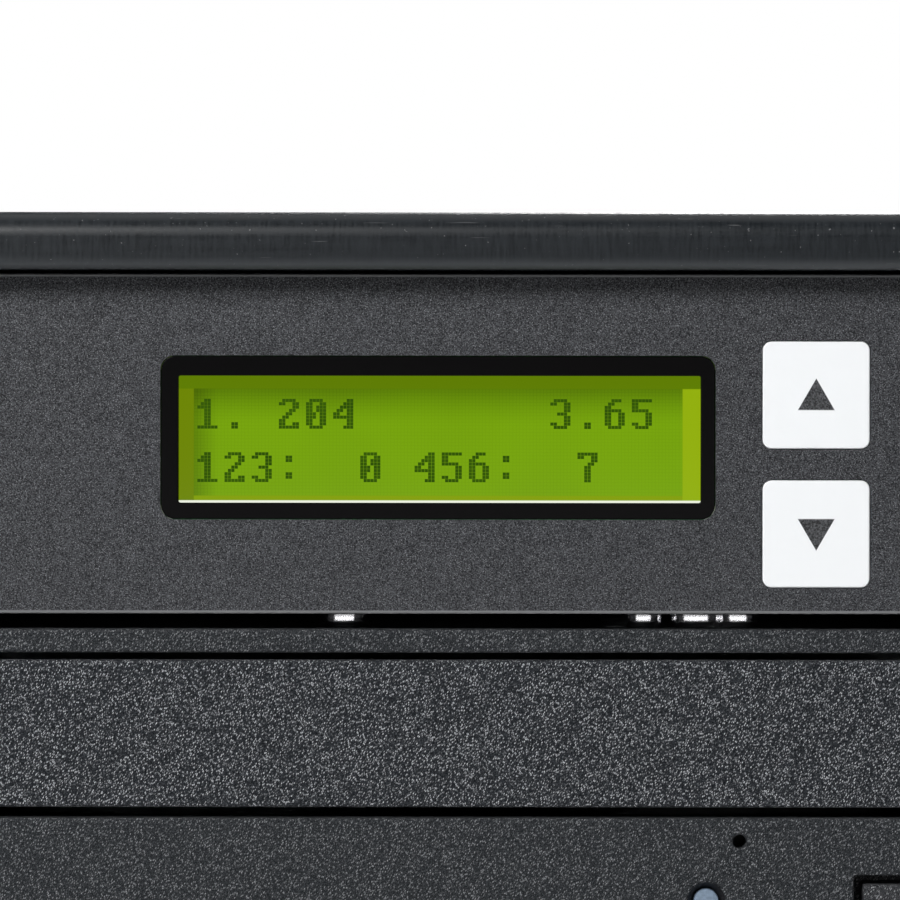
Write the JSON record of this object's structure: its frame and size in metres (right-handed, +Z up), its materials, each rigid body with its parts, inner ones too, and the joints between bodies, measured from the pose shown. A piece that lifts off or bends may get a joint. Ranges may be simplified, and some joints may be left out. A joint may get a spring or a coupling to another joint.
{
  "type": "disc duplicator tower",
  "caption": "Black disc duplicator tower: a lit green character display with square white keys on a speckled panel, above half-height optical drives with sliding trays.",
  "frame": {"origin": "on the floor under the middle of the tower", "axes": "+Z up; the front with the drive trays faces -Y; +X is to the right of someone facing the front"},
  "size_m": [0.19, 0.34, 0.352],
  "materials": {
    "case_paint": "satin black enamel on folded sheet",
    "frame_black": "satin black with a fine brushed grain",
    "drive_plastic": "dark grey moulded plastic with a fine sparkle",
    "panel_film": "dark grey film with a fine metallic speckle",
    "frame_plastic": "smooth black",
    "key_white": "plain white",
    "display_green": "lit yellow-green display glass",
    "lamp_lens": "pale clear lens",
    "zinc_sheet": "bare zinc-plated sheet",
    "rubber_black": "matt black",
    "circuit_board": "green solder mask with dark components",
    "black_plastic": "plain black moulding",
    "tray_grey": "plain dark grey moulding",
    "cable_red": "smooth cable jackets",
    "cable_black": "bundled wires in a black sleeve"
  },
  "bodies": {
    "tower": {"chassis_base": "case_paint", "rear_panel": "case_paint", "outer_cover": "case_paint", "front_bezel": "frame_black", "drive_cage": "zinc_sheet", "foot_1": "rubber_black", "foot_2": "rubber_black", "foot_3": "rubber_black", "foot_4": "rubber_black", "power_switch": "tray_grey", "power_lens": "lamp_lens", "panel_overlay": "panel_film", "control_faceplate": "drive_plastic", "lcd_frame": "frame_plastic", "lcd_glass": "display_green", "display_board": "circuit_board", "control_housing": "zinc_sheet", "control_board": "circuit_board", "psu_case": "zinc_sheet", "psu_board": "circuit_board", "mains_inlet": "black_plastic", "rear_fan_frame": "black_plastic", "data_cables": "cable_red", "power_harness": "cable_black", "drive_case_1": "zinc_sheet", "drive_case_2": "zinc_sheet", "drive_case_3": "zinc_sheet", "drive_case_4": "zinc_sheet", "drive_bezel_1": "drive_plastic", "drive_bezel_2": "drive_plastic", "drive_bezel_3": "drive_plastic", "drive_bezel_4": "drive_plastic"},
    "power_button": {"power_button": "black_plastic"},
    "rocker": {"rocker_switch": "black_plastic"},
    "rear_rotor": {"rear_fan_rotor": "black_plastic"},
    "psu_rotor": {"psu_fan_rotor": "black_plastic"},
    "key_up": {"key_up": "key_white"},
    "key_down": {"key_down": "key_white"},
    "key_enter": {"key_enter": "key_white"},
    "key_escape": {"key_escape": "key_white"},
    "tray_1": {"disc_tray_1": "tray_grey", "tray_front_1": "drive_plastic"},
    "eject_1": {"eject_button_1": "drive_plastic"},
    "turntable_1": {"spindle_1": "tray_grey"},
    "sled_1": {"laser_sled_1": "zinc_sheet"},
    "tray_2": {"disc_tray_2": "tray_grey", "tray_front_2": "drive_plastic"},
    "eject_2": {"eject_button_2": "drive_plastic"},
    "turntable_2": {"spindle_2": "tray_grey"},
    "sled_2": {"laser_sled_2": "zinc_sheet"},
    "tray_3": {"disc_tray_3": "tray_grey", "tray_front_3": "drive_plastic"},
    "eject_3": {"eject_button_3": "drive_plastic"},
    "turntable_3": {"spindle_3": "tray_grey"},
    "sled_3": {"laser_sled_3": "zinc_sheet"},
    "tray_4": {"disc_tray_4": "tray_grey", "tray_front_4": "drive_plastic"},
    "eject_4": {"eject_button_4": "drive_plastic"},
    "turntable_4": {"spindle_4": "tray_grey"},
    "sled_4": {"laser_sled_4": "zinc_sheet"}
  },
  "joints": [
    {"name": "key_up_press", "type": "slide", "parent": "tower", "child": "key_up", "axis": [0, 1, 0], "range_m": [0, 0.0005], "stiffness_N_per_m": 900, "springref_m": -0.0005},
    {"name": "key_down_press", "type": "slide", "parent": "tower", "child": "key_down", "axis": [0, 1, 0], "range_m": [0, 0.0005], "stiffness_N_per_m": 900, "springref_m": -0.0005},
    {"name": "key_enter_press", "type": "slide", "parent": "tower", "child": "key_enter", "axis": [0, 1, 0], "range_m": [0, 0.0005], "stiffness_N_per_m": 900, "springref_m": -0.0005},
    {"name": "key_escape_press", "type": "slide", "parent": "tower", "child": "key_escape", "axis": [0, 1, 0], "range_m": [0, 0.0005], "stiffness_N_per_m": 900, "springref_m": -0.0005},
    {"name": "power_button_press", "type": "slide", "parent": "tower", "child": "power_button", "axis": [0, 1, 0], "range_m": [0, 0.0025], "stiffness_N_per_m": 600, "springref_m": -0.001},
    {"name": "rocker_tilt", "type": "hinge", "parent": "tower", "child": "rocker", "pos_m": [0.05, 0.1651, 0.0656], "axis": [0, 0, 1], "range_deg": [-18, 0]},
    {"name": "rear_fan_turn", "type": "hinge", "parent": "tower", "child": "rear_rotor", "pos_m": [0, 0.15, 0.175], "axis": [0, 1, 0], "continuous": true},
    {"name": "psu_fan_turn", "type": "hinge", "parent": "tower", "child": "psu_rotor", "pos_m": [-0.018, 0.15, 0.0526], "axis": [0, 1, 0], "continuous": true},
    {"name": "tray_1_slide", "type": "slide", "parent": "tower", "child": "tray_1", "axis": [0, -1, 0], "range_m": [0, 0.135]},
    {"name": "eject_1_press", "type": "slide", "parent": "tower", "child": "eject_1", "axis": [0, 1, 0], "range_m": [0, 0.0008], "stiffness_N_per_m": 700, "springref_m": -0.0006},
    {"name": "turntable_1_turn", "type": "hinge", "parent": "tower", "child": "turntable_1", "pos_m": [0, -0.0945, 0.2728], "axis": [0, 0, 1], "continuous": true},
    {"name": "sled_1_slide", "type": "slide", "parent": "tower", "child": "sled_1", "axis": [0, 1, 0], "range_m": [0, 0.034]},
    {"name": "tray_2_slide", "type": "slide", "parent": "tower", "child": "tray_2", "axis": [0, -1, 0], "range_m": [0, 0.135]},
    {"name": "eject_2_press", "type": "slide", "parent": "tower", "child": "eject_2", "axis": [0, 1, 0], "range_m": [0, 0.0008], "stiffness_N_per_m": 700, "springref_m": -0.0006},
    {"name": "turntable_2_turn", "type": "hinge", "parent": "tower", "child": "turntable_2", "pos_m": [0, -0.0945, 0.2289], "axis": [0, 0, 1], "continuous": true},
    {"name": "sled_2_slide", "type": "slide", "parent": "tower", "child": "sled_2", "axis": [0, 1, 0], "range_m": [0, 0.034]},
    {"name": "tray_3_slide", "type": "slide", "parent": "tower", "child": "tray_3", "axis": [0, -1, 0], "range_m": [0, 0.135]},
    {"name": "eject_3_press", "type": "slide", "parent": "tower", "child": "eject_3", "axis": [0, 1, 0], "range_m": [0, 0.0008], "stiffness_N_per_m": 700, "springref_m": -0.0006},
    {"name": "turntable_3_turn", "type": "hinge", "parent": "tower", "child": "turntable_3", "pos_m": [0, -0.0945, 0.185], "axis": [0, 0, 1], "continuous": true},
    {"name": "sled_3_slide", "type": "slide", "parent": "tower", "child": "sled_3", "axis": [0, 1, 0], "range_m": [0, 0.034]},
    {"name": "tray_4_slide", "type": "slide", "parent": "tower", "child": "tray_4", "axis": [0, -1, 0], "range_m": [0, 0.135]},
    {"name": "eject_4_press", "type": "slide", "parent": "tower", "child": "eject_4", "axis": [0, 1, 0], "range_m": [0, 0.0008], "stiffness_N_per_m": 700, "springref_m": -0.0006},
    {"name": "turntable_4_turn", "type": "hinge", "parent": "tower", "child": "turntable_4", "pos_m": [0, -0.0945, 0.1411], "axis": [0, 0, 1], "continuous": true},
    {"name": "sled_4_slide", "type": "slide", "parent": "tower", "child": "sled_4", "axis": [0, 1, 0], "range_m": [0, 0.034]}
  ]
}
